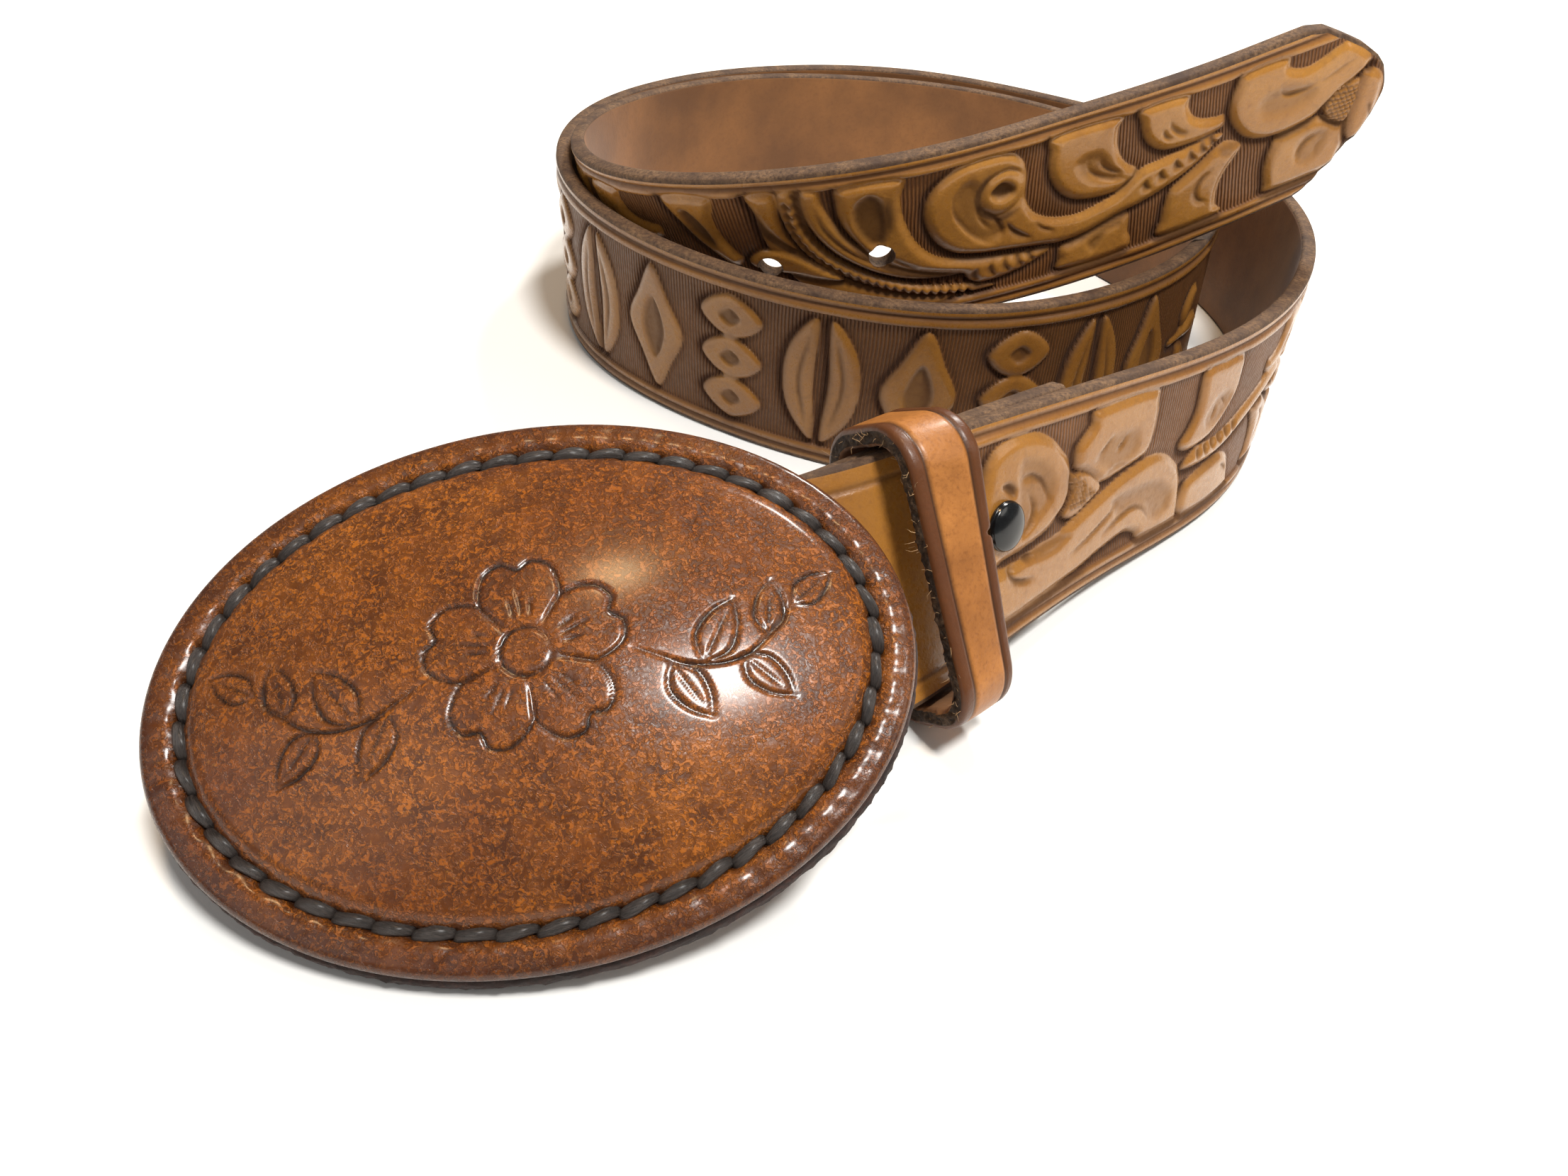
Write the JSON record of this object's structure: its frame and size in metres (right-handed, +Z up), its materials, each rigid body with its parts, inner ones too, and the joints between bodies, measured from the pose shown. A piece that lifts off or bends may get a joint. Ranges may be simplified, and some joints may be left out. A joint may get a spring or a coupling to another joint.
{
  "type": "leather belt",
  "caption": "Tooled leather belt coiled on its lower edge, with a rounded tip, punched holes, a snapped fold, a keeper loop and an oval leather covered buckle.",
  "frame": {"origin": "on the table under the middle of the bounding box", "axes": "+Z up, -Y towards the buckle end that faces the camera, +X to the right of the camera"},
  "size_m": [0.1865, 0.2882, 0.0825],
  "materials": {
    "strap_leather": "satin tooled grain",
    "keeper_leather": "satin",
    "cover_leather": "glossy crackled grain",
    "backing_leather": "rough cut edge",
    "black_snap": "gloss",
    "steel": "satin"
  },
  "bodies": {
    "root": {"strap": "strap_leather", "keeper_loop": "keeper_leather", "snap_cap": "black_snap", "snap_socket": "steel", "buckle_cover": "cover_leather", "buckle_backing": "backing_leather", "buckle_bar": "steel", "buckle_hook": "steel"}
  },
  "joints": []
}
